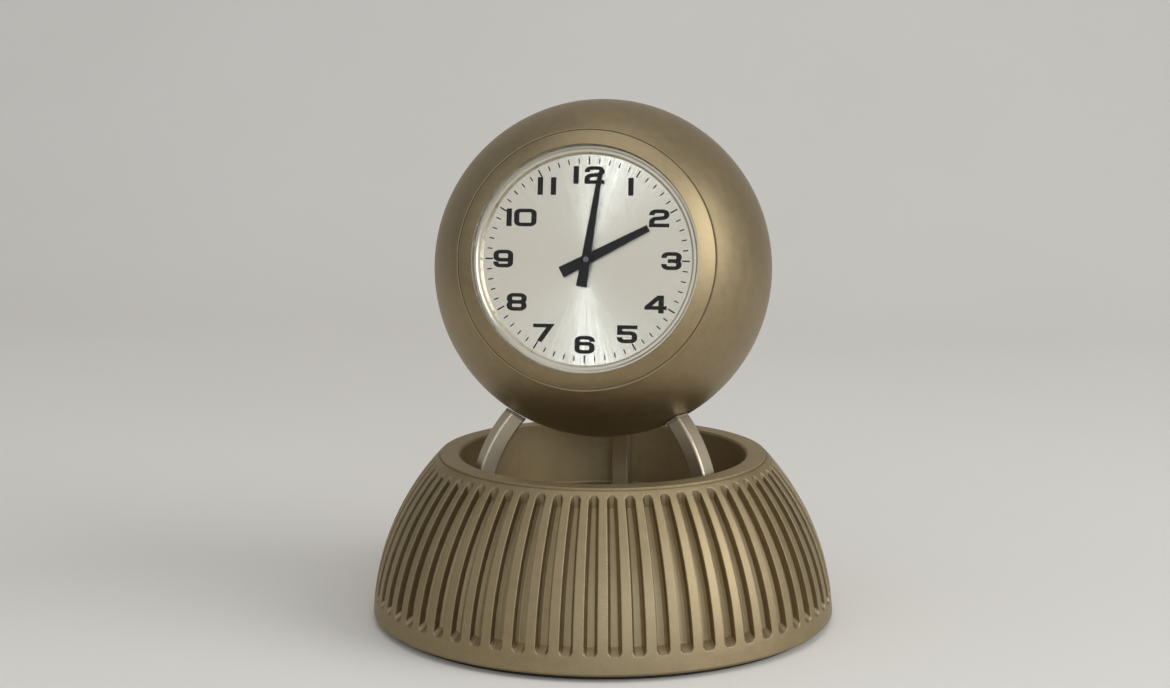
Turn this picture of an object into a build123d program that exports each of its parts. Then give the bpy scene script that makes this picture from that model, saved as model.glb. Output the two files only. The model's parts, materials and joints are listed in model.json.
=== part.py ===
from build123d import *
import math
import os

# Table clock: a satin metal ball on three curved arms that rise from a dish in a fluted dome base.
# Sizes are millimetres. Z is up, the origin is under the middle of the foot, the dial faces -Y.

# Base, seen from outside
foot_thickness = 1.2
foot_inset = 2.5
base_radius = 52.0
dome_height = 35.4
dome_top_radius = 37.1
dome_arc_radius = 56.0
dome_wall = 6.0
edge_chamfer = 0.5

# Flutes milled in the dome, with a short ramp at the foot and a longer one at the top
groove_count = 64
groove_share = 0.56
groove_depth = 2.2
groove_corner = 0.6
groove_low = 4.1
groove_top_land = 0.7
groove_low_ramp = 1.5
groove_high_ramp = 3.0

# Dish that closes the dome and carries the arms
flange_radius = 36.6
dish_radius = 32.2
dish_depth = 15.0
dish_wall = 1.0
flange_step = 0.5
rim_round = 0.6
dish_corner = 0.8
boss_radius = 6.0
boss_length = 9.0

# Plate and bolt that hold the base together
plate_thickness = 4.0
plate_lap = 1.9
bolt_radius = 2.5
bolt_head_radius = 4.5
bolt_head_height = 2.0
bolt_grip = 6.0
bolt_end_room = 0.6

# Cradle arms
arm_spread_angle = 60.0
rear_arm_angle = 180.0
arm_sweep_angle = 60.0
arm_foot_inset = 3.1
arm_foot_length = 4.5
arm_thickness = 3.8
arm_width = 4.2
arm_edge_round = 0.5
pad_thickness = 0.6
arm_screw_radius = 1.25
arm_screw_head_radius = 2.2
arm_screw_head_height = 1.6
arm_screw_length = 6.0

# Ball
ball_radius = 37.4
ball_height = 77.4
ball_wall = 2.0
face_tilt = 11.5
seam_radius = 27.6
seam_gap = 0.25
seam_depth = 0.9
seam_chamfer = 0.22
rear_seam_radius = 19.4
rear_rim = 1.8
rear_collar = 3.5
ledge_width = 2.95
ledge_thickness = 1.6

# Bezel, crystal and the stack behind it
opening_radius = 24.15
lip_thickness = 1.2
bezel_bulge = 0.12
crystal_lap = 0.75
crystal_edge = 1.1
crystal_rise = 1.2
crystal_land = 0.95
spigot_wall = 1.0
gasket_thickness = 0.3
ring_height = 1.3
ring_step = 0.35
dial_window_radius = 22.3
dial_setback = 1.3
dial_thickness = 0.5
dial_hole_radius = 1.2

# Hands: reach, tail, width at the tail and at the tip, angle clockwise from twelve
hour_reach, hour_tail, hour_wide, hour_slim, hour_angle = 14.6, 6.0, 2.45, 1.4, 62.0
minute_reach, minute_tail, minute_wide, minute_slim, minute_angle = 18.7, 5.8, 2.3, 0.9, 7.8
hand_thickness = 0.3
hand_gap = 0.3
hour_hand_lift = 0.6
pin_stand = 0.3

# Movement case
motion_space = 2.4
movement_plate = 1.4
plate_gap = 7.6
carrier_lip = 3.1
carrier_skirt = 1.6
rear_plate_inset = 0.7
pillar_radius = 1.3
pillar_spigot_radius = 0.8
pillar_inset = 2.6
pillar_angles = (12.0, 115.0, 215.0, 305.0)
small_screw_radius = 0.6
small_screw_head_radius = 1.2
small_screw_head_height = 0.7
small_screw_length = 3.4
carrier_screw_angles = (60.0, 180.0, 270.0)
carrier_screw_inset = 1.45

# Wheel train: teeth and modules, with each pair on one centre distance
motion_module = 0.45
cannon_teeth, motion_teeth, setting_teeth = 10, 30, 10
motion_pinion_teeth, hour_teeth = 10, 40
drive_module = 0.4
centre_teeth, drive_pinion_teeth = 48, 8
rotor_module = 0.35
intermediate_teeth, rotor_teeth = 40, 8
wheel_thickness = 0.7
axial_gap = 0.3
tooth_addendum = 0.75
tooth_dedendum = 1.0
tooth_root_share = 0.34
tooth_tip_share = 0.12
motion_bearing = 20.0
setting_bearing = 100.0
intermediate_bearing = 270.0
rotor_bearing = 180.0

# Arbors and pipes
centre_arbor_radius = 0.8
centre_pin_radius = 0.35
pipe_wall = 0.2
pivot_radius = 0.45
stud_radius = 0.7
stud_collar_radius = 1.3
stem_radius = 1.1
knob_radius = 4.5
knob_height = 5.0
knob_room = 4.3
knob_scallops = 12
knob_scallop_radius = 0.8

# Stepping motor
magnet_radius = 1.9
magnet_height = 1.7
stator_thickness = 1.0
stator_gap = 0.4
stator_band = 1.9
coil_offset = 14.5
coil_middle = 1.5
coil_length = 12.4
coil_radius = 2.5
coil_flange = 0.8
core_width = 2.6
core_tab = 2.2

# Battery bay and circuit on the back of the movement
cell_radius = 6.0
cell_length = 30.2
cell_middle = -6.5
cell_nub_radius = 2.0
cell_nub_height = 0.5
tray_wall = 1.2
tray_hold = 1.5
contact_thickness = 0.4
contact_size = 8.0
tray_screw_offset = 9.0
board_size = (16.0, 10.5)
board_middle = (-7.4, 7.2)
board_thickness = 0.8
chip_size = (4.5, 4.5, 0.7)
can_radius = 1.0
can_length = 6.0

# Rear cover
cover_wall = 1.6
cover_spigot = 2.8
cover_spigot_wall = 1.6
cover_gap = 0.1
seal_section = 0.9
notch_radius = 3.0
notch_depth = 0.9

# Clearances
snug = 0.05
running = 0.05
thread_fit = 0.02
cradle_gap = 0.15
cell_play = 0.3
cut_past = 1.0

# Heights that follow
metal_edge = foot_thickness
dome_top = metal_edge + dome_height
groove_high = dome_height - groove_top_land
flange_top = dome_top + flange_step
dish_floor = flange_top - dish_depth
arm_bend = dish_floor + arm_foot_length
arm_foot_radius = dish_radius - arm_foot_inset
ball_centre = metal_edge + ball_height


def outlined(*runs):
    """Face inside a closed outline of lines and arcs."""
    return Face(Wire([edge for run in runs for edge in run.edges()]))


def turned(*runs):
    """Revolve a closed outline, drawn as radius and height, about the upright axis."""
    return revolve(Plane.XZ * outlined(*runs), Axis.Z)


def turned_points(*points):
    """Revolve a straight-sided outline about the upright axis."""
    return turned(Polyline(*points, close=True))


def rod(radius, low, high, place=(0, 0)):
    """Round bar from one height to another, upright at a place in plan."""
    return Pos(place[0], place[1], low) * extrude(Circle(radius), high - low)


def ring(outer, inner, low, high, place=(0, 0)):
    """Flat ring or tube between two heights."""
    return Pos(place[0], place[1], low) * extrude(Circle(outer) - Circle(inner), high - low)


def bar(size_x, size_y, low, high, place=(0, 0)):
    """Flat rectangular bar between two heights."""
    return Pos(place[0], place[1], low) * extrude(Rectangle(size_x, size_y), high - low)


def polar(radius, angle):
    """Place in plan at a radius and an angle in degrees."""
    return radius * math.cos(math.radians(angle)), radius * math.sin(math.radians(angle))


def group(solids):
    """Several like pieces kept as separate solids of one node."""
    return Compound(children=list(solids))


# The dome's profile is one arc through the metal edge and the top land
chord_r = dome_top_radius - base_radius
chord = math.hypot(chord_r, dome_height)
centre_offset = math.sqrt(dome_arc_radius ** 2 - (chord / 2) ** 2)
dome_centre_r = (base_radius + dome_top_radius) / 2 - centre_offset * dome_height / chord
dome_centre_z = metal_edge + dome_height / 2 + centre_offset * chord_r / chord


def dome_point(inset, height):
    """Point of the dome's profile, sunk by inset, at a height above the metal edge."""
    rise = metal_edge + height - dome_centre_z
    return dome_centre_r + math.sqrt((dome_arc_radius - inset) ** 2 - rise ** 2), metal_edge + height


def dome_arc(inset, low, high):
    """Arc of the dome's profile between two heights above the metal edge."""
    middle = (low + high) / 2
    return ThreePointArc(dome_point(inset, low), dome_point(inset, middle), dome_point(inset, high))


def beyond(start, end):
    """Point as far past end as start lies before it."""
    return 2 * end[0] - start[0], 2 * end[1] - start[1]


def make_base_shell():
    """Fluted dome: turned hollow, rebated for the dish and the plate, then milled all round."""
    dish_hole = dish_radius + dish_wall + 2 * snug
    inner_r = dome_arc_radius - dome_wall
    inner_top = dome_centre_z - metal_edge + math.sqrt(inner_r ** 2 - (dish_hole - dome_centre_r) ** 2)
    recess = dome_height + flange_step - dish_wall
    low_inner = dome_point(dome_wall, plate_thickness)
    high_inner = dome_point(dome_wall, inner_top)
    pocket = low_inner[0] + plate_lap + snug
    shell = turned(
        dome_arc(0, edge_chamfer, dome_height),
        Polyline(
            dome_point(0, dome_height),
            (flange_radius + snug, dome_top),
            (flange_radius + snug, metal_edge + recess),
            (dish_hole, metal_edge + recess),
            high_inner,
        ),
        dome_arc(dome_wall, inner_top, plate_thickness),
        Polyline(
            low_inner,
            (pocket, metal_edge + plate_thickness),
            (pocket, metal_edge),
            (base_radius - edge_chamfer, metal_edge),
            dome_point(0, edge_chamfer),
        ),
    )
    surface_low = dome_point(0, groove_low)
    surface_high = dome_point(0, groove_high)
    floor_start = groove_low + groove_low_ramp
    floor_end = groove_high - groove_high_ramp
    floor_low = dome_point(groove_depth, floor_start)
    floor_high = dome_point(groove_depth, floor_end)
    outer_low = beyond(floor_low, surface_low)
    outer_high = beyond(floor_high, surface_high)
    outer_middle = dome_point(-groove_depth, (groove_low + groove_high) / 2)
    section = outlined(
        Line(outer_low, floor_low),
        dome_arc(groove_depth, floor_start, floor_end),
        Line(floor_high, outer_high),
        ThreePointArc(outer_high, outer_middle, outer_low),
    )
    groove_angle = groove_share * 360 / groove_count
    groove = Rot(0, 0, -groove_angle / 2) * revolve(Plane.XZ * section, Axis.Z, groove_angle)
    floor_radius = dome_arc_radius - groove_depth
    arcs = groove.edges().filter_by(GeomType.CIRCLE)
    floor_edges = arcs.filter_by(lambda edge: math.isclose(edge.radius, floor_radius))
    groove = chamfer(floor_edges + groove.edges().filter_by(GeomType.LINE), groove_corner)
    return shell - [place * groove for place in PolarLocations(0, groove_count)]


def make_dish():
    """Pressed dish with a flat flange, a bolt boss below and a hole under each arm."""
    floor_under = dish_floor - dish_wall
    boss_end = floor_under - boss_length
    hole_radius = bolt_radius + thread_fit
    hole_top = metal_edge + bolt_head_height + bolt_reach() + bolt_end_room
    outer = dish_radius + dish_wall
    corner_in = dish_corner * (1 - math.sqrt(0.5))
    rim_in = rim_round * (1 - math.sqrt(0.5))
    dish = turned(
        Polyline((0, hole_top), (0, dish_floor), (dish_radius - dish_corner, dish_floor)),
        ThreePointArc(
            (dish_radius - dish_corner, dish_floor),
            (dish_radius - corner_in, dish_floor + corner_in),
            (dish_radius, dish_floor + dish_corner),
        ),
        Line((dish_radius, dish_floor + dish_corner), (dish_radius, flange_top - rim_round)),
        ThreePointArc(
            (dish_radius, flange_top - rim_round),
            (dish_radius + rim_in, flange_top - rim_in),
            (dish_radius + rim_round, flange_top),
        ),
        Polyline(
            (dish_radius + rim_round, flange_top),
            (flange_radius, flange_top),
            (flange_radius, flange_top - dish_wall),
            (outer, flange_top - dish_wall),
            (outer, floor_under),
            (boss_radius, floor_under),
            (boss_radius, boss_end),
            (hole_radius, boss_end),
            (hole_radius, hole_top),
            (0, hole_top),
        ),
    )
    hole_low = floor_under - cut_past
    hole = rod(arm_screw_radius + snug, hole_low, dish_floor + cut_past, (arm_foot_radius, 0))
    return dish - [turn * hole for turn in arm_turns.values()]


def bolt_reach():
    """Length of the tie bolt's shank, from under its head to its end in the dish's boss."""
    boss_end = dish_floor - dish_wall - boss_length
    return boss_end + bolt_grip - metal_edge - bolt_head_height


def make_base_plate():
    """Steel disc that closes the dome, with a sunk seat for the tie bolt's head."""
    radius = dome_point(dome_wall, plate_thickness)[0] + plate_lap
    plate = rod(radius, metal_edge, metal_edge + plate_thickness)
    seat = rod(bolt_head_radius + snug, metal_edge, metal_edge + bolt_head_height)
    return plate - seat - rod(bolt_radius + snug, metal_edge, metal_edge + plate_thickness)


def make_tie_bolt():
    """Socket-head bolt that pulls the dish down on the dome."""
    head_top = metal_edge + bolt_head_height
    head = rod(bolt_head_radius, metal_edge, head_top)
    shank = rod(bolt_radius, head_top, head_top + bolt_reach())
    socket_depth = bolt_head_height / 2
    socket = Pos(0, 0, metal_edge) * extrude(RegularPolygon(bolt_radius, 6), socket_depth)
    return head + shank - socket


# Turns from +X to each arm's azimuth, which is counted from the front, positive to the right
arm_turns = {
    "left": Rot(0, 0, -arm_spread_angle - 90),
    "right": Rot(0, 0, arm_spread_angle - 90),
    "rear": Rot(0, 0, rear_arm_angle - 90),
}


def arm_sweep():
    """Arm section raised straight from the dish floor, then swung inwards until it runs into the ball."""
    section = RectangleRounded(arm_thickness, arm_width, arm_edge_round)
    foot = Pos(arm_foot_radius, 0, dish_floor) * extrude(section, arm_foot_length)
    hinge = Axis((0, 0, arm_bend), (0, -1, 0))
    return foot + revolve(Pos(arm_foot_radius, 0, arm_bend) * section, hinge, arm_sweep_angle)


def ball_space(margin):
    """Sphere about the ball, larger than it by a margin."""
    return Pos(0, 0, ball_centre) * Sphere(ball_radius + margin)


def make_arm():
    """Curved square arm, ground hollow at its tip for the pad and tapped at its foot."""
    arm = arm_sweep() - ball_space(cradle_gap + pad_thickness)
    hole_top = dish_floor + arm_screw_length - dish_wall + snug
    return arm - rod(arm_screw_radius + thread_fit, dish_floor, hole_top, (arm_foot_radius, 0))


def make_pad():
    """Thin cushion on an arm's tip, hollowed to the ball."""
    cushion = arm_sweep() & ball_space(cradle_gap + pad_thickness)
    return cushion - ball_space(cradle_gap)


def make_arm_screw():
    """Pan-head screw from under the dish into an arm."""
    seat = dish_floor - dish_wall
    place = (arm_foot_radius, 0)
    head = rod(arm_screw_head_radius, seat - arm_screw_head_height, seat, place)
    return head + rod(arm_screw_radius, seat, seat + arm_screw_length, place)


# Levels along the clock's own axis, counted from the ball's centre towards the dial
seam_z = math.sqrt(ball_radius ** 2 - seam_radius ** 2)
seat_z = seam_z - seam_depth
dial_front = seam_z - dial_setback
ring_top = dial_front + ring_height
gasket_top = ring_top + gasket_thickness
lip_under = gasket_top + crystal_edge
nose_z = lip_under + lip_thickness
dial_back = dial_front - dial_thickness
front_plate_top = dial_back - motion_space
front_plate_low = front_plate_top - movement_plate
back_plate_top = front_plate_low - plate_gap
back_plate_low = back_plate_top - movement_plate
carrier_low = front_plate_top - carrier_skirt
hour_hand_low = dial_front + hour_hand_lift
minute_hand_low = hour_hand_low + hand_thickness + hand_gap
rear_seam_z = -math.sqrt(ball_radius ** 2 - rear_seam_radius ** 2)
cover_rim_z = rear_seam_z - cover_gap
cover_end = cover_rim_z + cover_spigot
knob_low = cover_end + knob_room

# Radii of the pieces that nest inside the bezel
crystal_radius = opening_radius + crystal_lap
nest_radius = crystal_radius + snug
spigot_radius = nest_radius + spigot_wall
collar_bore = spigot_radius + snug
ledge_radius = collar_bore - ledge_width
movement_radius = ledge_radius - ledge_width + snug
front_bore = movement_radius - carrier_lip
rear_bore = rear_seam_radius - rear_rim


def sphere_point(radius, height):
    """Point of a meridian at a height from the ball's centre."""
    return math.sqrt(radius ** 2 - height ** 2), height


def sphere_arc(radius, low, high):
    """Arc of a meridian between two heights from the ball's centre."""
    middle = (low + high) / 2
    return ThreePointArc(
        sphere_point(radius, low), sphere_point(radius, middle), sphere_point(radius, high)
    )


def cap_arc(edge_radius, edge_z, rise):
    """Shallow arc from an edge up to the axis."""
    radius = (edge_radius ** 2 + rise ** 2) / (2 * rise)
    half = edge_radius / 2
    half_z = edge_z + rise - radius + math.sqrt(radius ** 2 - half ** 2)
    return ThreePointArc((edge_radius, edge_z), (half, half_z), (0, edge_z + rise))


def make_ball_shell():
    """Hollow ball, counterbored in front for the bezel, with a movement ledge and a rear collar."""
    inner = ball_radius - ball_wall
    ledge_low = carrier_low - ledge_thickness
    collar_z = rear_seam_z + rear_collar
    front_edge = seam_z - seam_chamfer
    rear_edge = rear_seam_z + seam_chamfer
    return turned(
        sphere_arc(ball_radius, rear_edge, front_edge),
        Polyline(
            sphere_point(ball_radius, front_edge),
            (seam_radius, front_edge),
            (seam_radius, seat_z),
            (collar_bore, seat_z),
            (collar_bore, carrier_low),
            (ledge_radius, carrier_low),
            (ledge_radius, ledge_low),
            sphere_point(inner, ledge_low),
        ),
        sphere_arc(inner, ledge_low, collar_z),
        Polyline(
            sphere_point(inner, collar_z),
            (rear_bore, collar_z),
            (rear_bore, rear_seam_z),
            (rear_seam_radius - seam_chamfer, rear_seam_z),
            sphere_point(ball_radius, rear_edge),
        ),
    )


def make_bezel():
    """Turned bezel ring that carries on the ball's curve past a fine parting gap, with a lip over the crystal."""
    start = (opening_radius, nose_z)
    edge_radius = seam_radius - seam_gap
    end = (edge_radius, math.sqrt(ball_radius ** 2 - edge_radius ** 2))
    run = math.dist(start, end)
    middle = (
        (start[0] + end[0]) / 2 + bezel_bulge * (start[1] - end[1]) / run,
        (start[1] + end[1]) / 2 + bezel_bulge * (end[0] - start[0]) / run,
    )
    spigot_low = carrier_low + axial_gap
    return turned(
        ThreePointArc(start, middle, end),
        Polyline(
            end,
            (edge_radius, seat_z),
            (spigot_radius, seat_z),
            (spigot_radius, spigot_low),
            (nest_radius, spigot_low),
            (nest_radius, lip_under),
            (opening_radius, lip_under),
            start,
        ),
    )


def make_crystal():
    """Slightly domed clear crystal, held by its flat edge behind the bezel's lip."""
    dome_edge = opening_radius - snug
    hollow_edge = crystal_radius - crystal_land
    return turned(
        Line((0, gasket_top + crystal_rise), (0, lip_under + crystal_rise)),
        cap_arc(dome_edge, lip_under, crystal_rise),
        Polyline(
            (dome_edge, lip_under),
            (crystal_radius, lip_under),
            (crystal_radius, gasket_top),
            (hollow_edge, gasket_top),
        ),
        cap_arc(hollow_edge, gasket_top, crystal_rise),
    )


def make_inner_ring():
    """Polished stepped ring between the dial and the crystal's gasket."""
    step_z = ring_top - ring_step
    return turned_points(
        (dial_window_radius, dial_front),
        (dial_window_radius + (step_z - dial_front) / 2, step_z),
        (dial_window_radius + ring_height - ring_step, step_z),
        (dial_window_radius + ring_height, ring_top),
        (crystal_radius, ring_top),
        (crystal_radius, dial_front),
    )


# Centre distances and the places of the arbors in plan
motion_distance = motion_module * (cannon_teeth + motion_teeth) / 2
hour_module = 2 * motion_distance / (motion_pinion_teeth + hour_teeth)
setting_distance = motion_module * (motion_teeth + setting_teeth) / 2
drive_distance = drive_module * (centre_teeth + drive_pinion_teeth) / 2
rotor_distance = rotor_module * (intermediate_teeth + rotor_teeth) / 2


def stepped(start, distance, bearing):
    """Place at a distance and a bearing from another place."""
    across, along = polar(distance, bearing)
    return start[0] + across, start[1] + along


centre_place = (0.0, 0.0)
motion_place = stepped(centre_place, motion_distance, motion_bearing)
setting_place = stepped(motion_place, setting_distance, setting_bearing)
intermediate_place = stepped(centre_place, drive_distance, intermediate_bearing)
rotor_place = stepped(intermediate_place, rotor_distance, rotor_bearing)


def meshed(bearing, teeth, phase, next_teeth):
    """Phase of the next wheel whose gap meets a tooth of this one on the line of centres."""
    share = (bearing - phase) * teeth / 360
    return bearing + 180 - (0.5 - share) * 360 / next_teeth


def gear(teeth, module, phase, bore, low, high, place):
    """Spur wheel with straight-flanked teeth and backlash, a tooth centred at the phase angle."""
    pitch = 360 / teeth
    tip = module * (teeth / 2 + tooth_addendum)
    root = module * (teeth / 2 - tooth_dedendum)
    corners = (
        (root, -tooth_root_share),
        (tip, -tooth_tip_share),
        (tip, tooth_tip_share),
        (root, tooth_root_share),
    )
    outline = [
        polar(radius, phase + (tooth + share) * pitch)
        for tooth in range(teeth)
        for radius, share in corners
    ]
    disc = make_face(Polyline(*outline, close=True))
    if bore:
        disc = disc - Circle(bore)
    return Pos(place[0], place[1], low) * extrude(disc, high - low)


# Wheel levels
motion_low = front_plate_top + axial_gap
motion_high = motion_low + wheel_thickness
hour_low = motion_high + axial_gap
hour_high = hour_low + wheel_thickness
centre_high = front_plate_low - axial_gap - wheel_thickness
centre_low = centre_high - wheel_thickness
magnet_low = back_plate_top + axial_gap
magnet_high = magnet_low + magnet_height
intermediate_low = magnet_high + 2 * axial_gap
intermediate_high = intermediate_low + wheel_thickness

# Tooth phases at rest, worked out along the train
cannon_phase = 0.0
motion_phase = meshed(motion_bearing, cannon_teeth, cannon_phase, motion_teeth)
motion_pinion_phase = 0.0
hour_phase = meshed(motion_bearing + 180, motion_pinion_teeth, motion_pinion_phase, hour_teeth)
setting_phase = meshed(setting_bearing, motion_teeth, motion_phase, setting_teeth)
centre_phase = 0.0
drive_pinion_phase = meshed(intermediate_bearing, centre_teeth, centre_phase, drive_pinion_teeth)
intermediate_phase = 0.0
rotor_phase = meshed(rotor_bearing, intermediate_teeth, intermediate_phase, rotor_teeth)

# Pipes on the centre arbor, from the inside out
cannon_bore = centre_pin_radius + thread_fit
cannon_radius = cannon_bore + pipe_wall
hour_bore = cannon_radius + running
hour_pipe_radius = hour_bore + pipe_wall
pin_top = minute_hand_low + hand_thickness + pin_stand


def make_hand(reach, tail, wide, slim, angle, low, bore):
    """Flat hand that tapers from its tail to its tip, on its pipe."""
    outline = Polyline(
        (-wide / 2, -tail), (wide / 2, -tail), (slim / 2, reach), (-slim / 2, reach), close=True
    )
    blade = make_face(outline) - Circle(bore)
    return Rot(0, 0, -angle) * Pos(0, 0, low) * extrude(blade, hand_thickness)


def make_centre_wheel():
    """Centre wheel on its arbor, which ends in the slim pin that carries the minute works."""
    wheel = gear(centre_teeth, drive_module, centre_phase, 0, centre_low, centre_high, centre_place)
    arbor = rod(centre_arbor_radius, back_plate_top + axial_gap, motion_low)
    pivot = rod(pivot_radius, back_plate_low + axial_gap, back_plate_top + axial_gap)
    return wheel + arbor + pivot + rod(centre_pin_radius, motion_low, pin_top)


def make_cannon_pinion():
    """Cannon pinion: short pinion with a long pipe for the minute hand."""
    pinion = gear(
        cannon_teeth, motion_module, cannon_phase, cannon_bore, motion_low, motion_high, centre_place
    )
    return pinion + ring(cannon_radius, cannon_bore, motion_high, minute_hand_low + hand_thickness)


def make_hour_wheel():
    """Hour wheel with its pipe, free on the cannon."""
    wheel = gear(hour_teeth, hour_module, hour_phase, hour_bore, hour_low, hour_high, centre_place)
    return wheel + ring(hour_pipe_radius, hour_bore, hour_high, hour_hand_low + hand_thickness)


def make_motion_wheel():
    """Motion wheel and the pinion riveted on it, free on a stud."""
    bore = stud_radius + running
    wheel = gear(
        motion_teeth, motion_module, motion_phase, bore, motion_low, motion_high, motion_place
    )
    pinion = gear(
        motion_pinion_teeth, hour_module, motion_pinion_phase, bore, motion_high, hour_high, motion_place
    )
    return wheel + pinion


def make_motion_stud():
    """Shouldered stud in the front plate that the motion wheel turns on."""
    collar_top = motion_low - running
    collar = rod(stud_collar_radius, front_plate_top, collar_top, motion_place)
    shank = rod(stud_radius, front_plate_low, front_plate_top, motion_place)
    return collar + shank + rod(stud_radius, collar_top, hour_high, motion_place)


def make_intermediate_wheel():
    """Intermediate wheel with the pinion that drives the centre wheel, on one arbor."""
    wheel = gear(
        intermediate_teeth, rotor_module, intermediate_phase, 0,
        intermediate_low, intermediate_high, intermediate_place,
    )
    pinion = gear(
        drive_pinion_teeth, drive_module, drive_pinion_phase, 0,
        intermediate_high, centre_high, intermediate_place,
    )
    arbor_low = back_plate_low + axial_gap
    arbor_high = front_plate_top - axial_gap
    return wheel + pinion + rod(pivot_radius, arbor_low, arbor_high, intermediate_place)


def make_rotor_pinion():
    """Rotor arbor with its pinion."""
    pinion = gear(
        rotor_teeth, rotor_module, rotor_phase, 0, magnet_high, intermediate_high, rotor_place
    )
    arbor_low = back_plate_low + axial_gap
    arbor_high = front_plate_top - axial_gap
    return pinion + rod(pivot_radius, arbor_low, arbor_high, rotor_place)


def make_setting_stem():
    """Long setting stem with the pinion that turns the motion wheel."""
    pinion = gear(
        setting_teeth, motion_module, setting_phase, 0, motion_low, motion_high, setting_place
    )
    return pinion + rod(stem_radius, knob_low, motion_low, setting_place)


def make_setting_knob():
    """Scalloped knob pushed on the end of the setting stem."""
    knob_high = knob_low + knob_height
    knob = ring(knob_radius, stem_radius + thread_fit, knob_low, knob_high, setting_place)
    scallops = [
        rod(knob_scallop_radius, knob_low, knob_high, stepped(setting_place, knob_radius, angle))
        for angle in range(0, 360, 360 // knob_scallops)
    ]
    return knob - scallops


def pillar_places():
    """Places of the pillars between the movement's plates."""
    return [polar(movement_radius - pillar_inset, angle) for angle in pillar_angles]


def carrier_screw_places():
    """Places of the screws that hold the movement to its carrier."""
    return [polar(movement_radius - carrier_screw_inset, angle) for angle in carrier_screw_angles]


def make_carrier():
    """Moulded ring that centres the movement in the ball and backs the dial."""
    carrier = turned_points(
        (front_bore, front_plate_top),
        (front_bore, dial_back),
        (crystal_radius, dial_back),
        (crystal_radius, carrier_low),
        (movement_radius + snug, carrier_low),
        (movement_radius + snug, front_plate_top),
    )
    depth = small_screw_length - movement_plate + snug
    holes = [
        rod(small_screw_radius + thread_fit, front_plate_top, front_plate_top + depth, place)
        for place in carrier_screw_places()
    ]
    return carrier - holes


def drilled(plate, low, high, holes):
    """Plate with a list of holes, each a place and a radius."""
    return plate - [rod(radius, low, high, place) for place, radius in holes]


def make_front_plate():
    """Front movement plate, drilled for the arbors, the pillars and its screws."""
    holes = [
        (centre_place, centre_arbor_radius + running),
        (intermediate_place, pivot_radius + running),
        (rotor_place, pivot_radius + running),
        (setting_place, stem_radius + running),
        (motion_place, stud_radius + thread_fit),
    ]
    holes += [(place, pillar_spigot_radius + thread_fit) for place in pillar_places()]
    holes += [(place, small_screw_radius + snug) for place in carrier_screw_places()]
    plate = rod(movement_radius, front_plate_low, front_plate_top)
    return drilled(plate, front_plate_low, front_plate_top, holes)


def make_back_plate():
    """Back movement plate, with a window for the coil and sunk seats for the pillar screws."""
    plate = rod(movement_radius - rear_plate_inset, back_plate_low, back_plate_top)
    holes = [
        (centre_place, pivot_radius + running),
        (intermediate_place, pivot_radius + running),
        (rotor_place, pivot_radius + running),
        (setting_place, stem_radius + running),
    ]
    holes += [(place, small_screw_radius + snug) for place in tray_screw_places()]
    holes += [(place, small_screw_radius + snug) for place in pillar_places()]
    plate = drilled(plate, back_plate_low, back_plate_top, holes)
    sinks = [
        Pos(*place, back_plate_low) * sunk_seat(snug) for place in pillar_places()
    ]
    window = bar(
        2 * coil_radius + axial_gap, coil_length + axial_gap,
        back_plate_low, back_plate_top, (-coil_offset, coil_middle),
    )
    return plate - sinks - window


def sunk_seat(margin):
    """Cone of a countersunk head, standing on its wide end."""
    height = small_screw_head_height
    cone = Cone(small_screw_head_radius + margin, small_screw_radius + margin, height)
    return Pos(0, 0, height / 2) * cone


def make_sunk_screw(place, low, length):
    """Countersunk screw whose head is flush at its low end."""
    shank = rod(small_screw_radius, small_screw_head_height, length)
    return Pos(*place, low) * (sunk_seat(0) + shank)


def make_pillar(place):
    """Pillar riveted in the front plate and tapped for a screw at the back."""
    post = rod(pillar_radius, back_plate_top, front_plate_low, place)
    spigot = rod(pillar_spigot_radius, front_plate_low, front_plate_top, place)
    depth = small_screw_length - movement_plate + snug
    hole = rod(small_screw_radius + thread_fit, back_plate_top, back_plate_top + depth, place)
    return post + spigot - hole


def make_carrier_screw(place):
    """Pan-head screw through the front plate into the carrier."""
    head_low = front_plate_low - small_screw_head_height
    head = rod(small_screw_head_radius, head_low, front_plate_low, place)
    return head + rod(small_screw_radius, front_plate_low, front_plate_low + small_screw_length, place)


def make_stator():
    """Flat iron stator round the rotor, with a leg to each end of the coil."""
    low = back_plate_top
    high = low + stator_thickness
    eye = magnet_radius + stator_gap
    coil_end = coil_length / 2
    tab_low = coil_middle - coil_end - core_tab / 2
    tab_high = coil_middle + coil_end + core_tab / 2
    spine_x = rotor_place[0] + stator_band / 2
    yoke = rod(eye + stator_band, low, high, rotor_place)
    spine = bar(
        stator_band, tab_high - rotor_place[1] + core_tab / 2, low, high,
        (spine_x, (tab_high + core_tab / 2 + rotor_place[1]) / 2),
    )
    top_leg = bar(
        spine_x + coil_offset + (core_width + stator_band) / 2, core_tab, low, high,
        ((spine_x + stator_band / 2 - coil_offset - core_width / 2) / 2, tab_high),
    )
    low_leg = bar(
        rotor_place[0] + coil_offset + core_width / 2, core_tab, low, high,
        ((rotor_place[0] - coil_offset - core_width / 2) / 2, tab_low),
    )
    return yoke + spine + top_leg + low_leg - rod(eye, low, high, rotor_place)


def make_coil():
    """Wound bobbin on a flat iron core whose tabs lie on the stator."""
    core_low = back_plate_top + stator_thickness
    core_high = core_low + stator_thickness
    axis_z = (core_low + core_high) / 2
    half = coil_length / 2
    waist = coil_radius - coil_flange / 2
    spool = turned_points(
        (0, -half), (coil_radius, -half), (coil_radius, coil_flange - half), (waist, coil_flange - half),
        (waist, half - coil_flange), (coil_radius, half - coil_flange), (coil_radius, half), (0, half),
    )
    core = bar(
        core_width, coil_length + 2 * core_tab, core_low, core_high, (-coil_offset, coil_middle)
    )
    return Pos(-coil_offset, coil_middle, axis_z) * Rot(90, 0, 0) * spool + core


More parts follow.
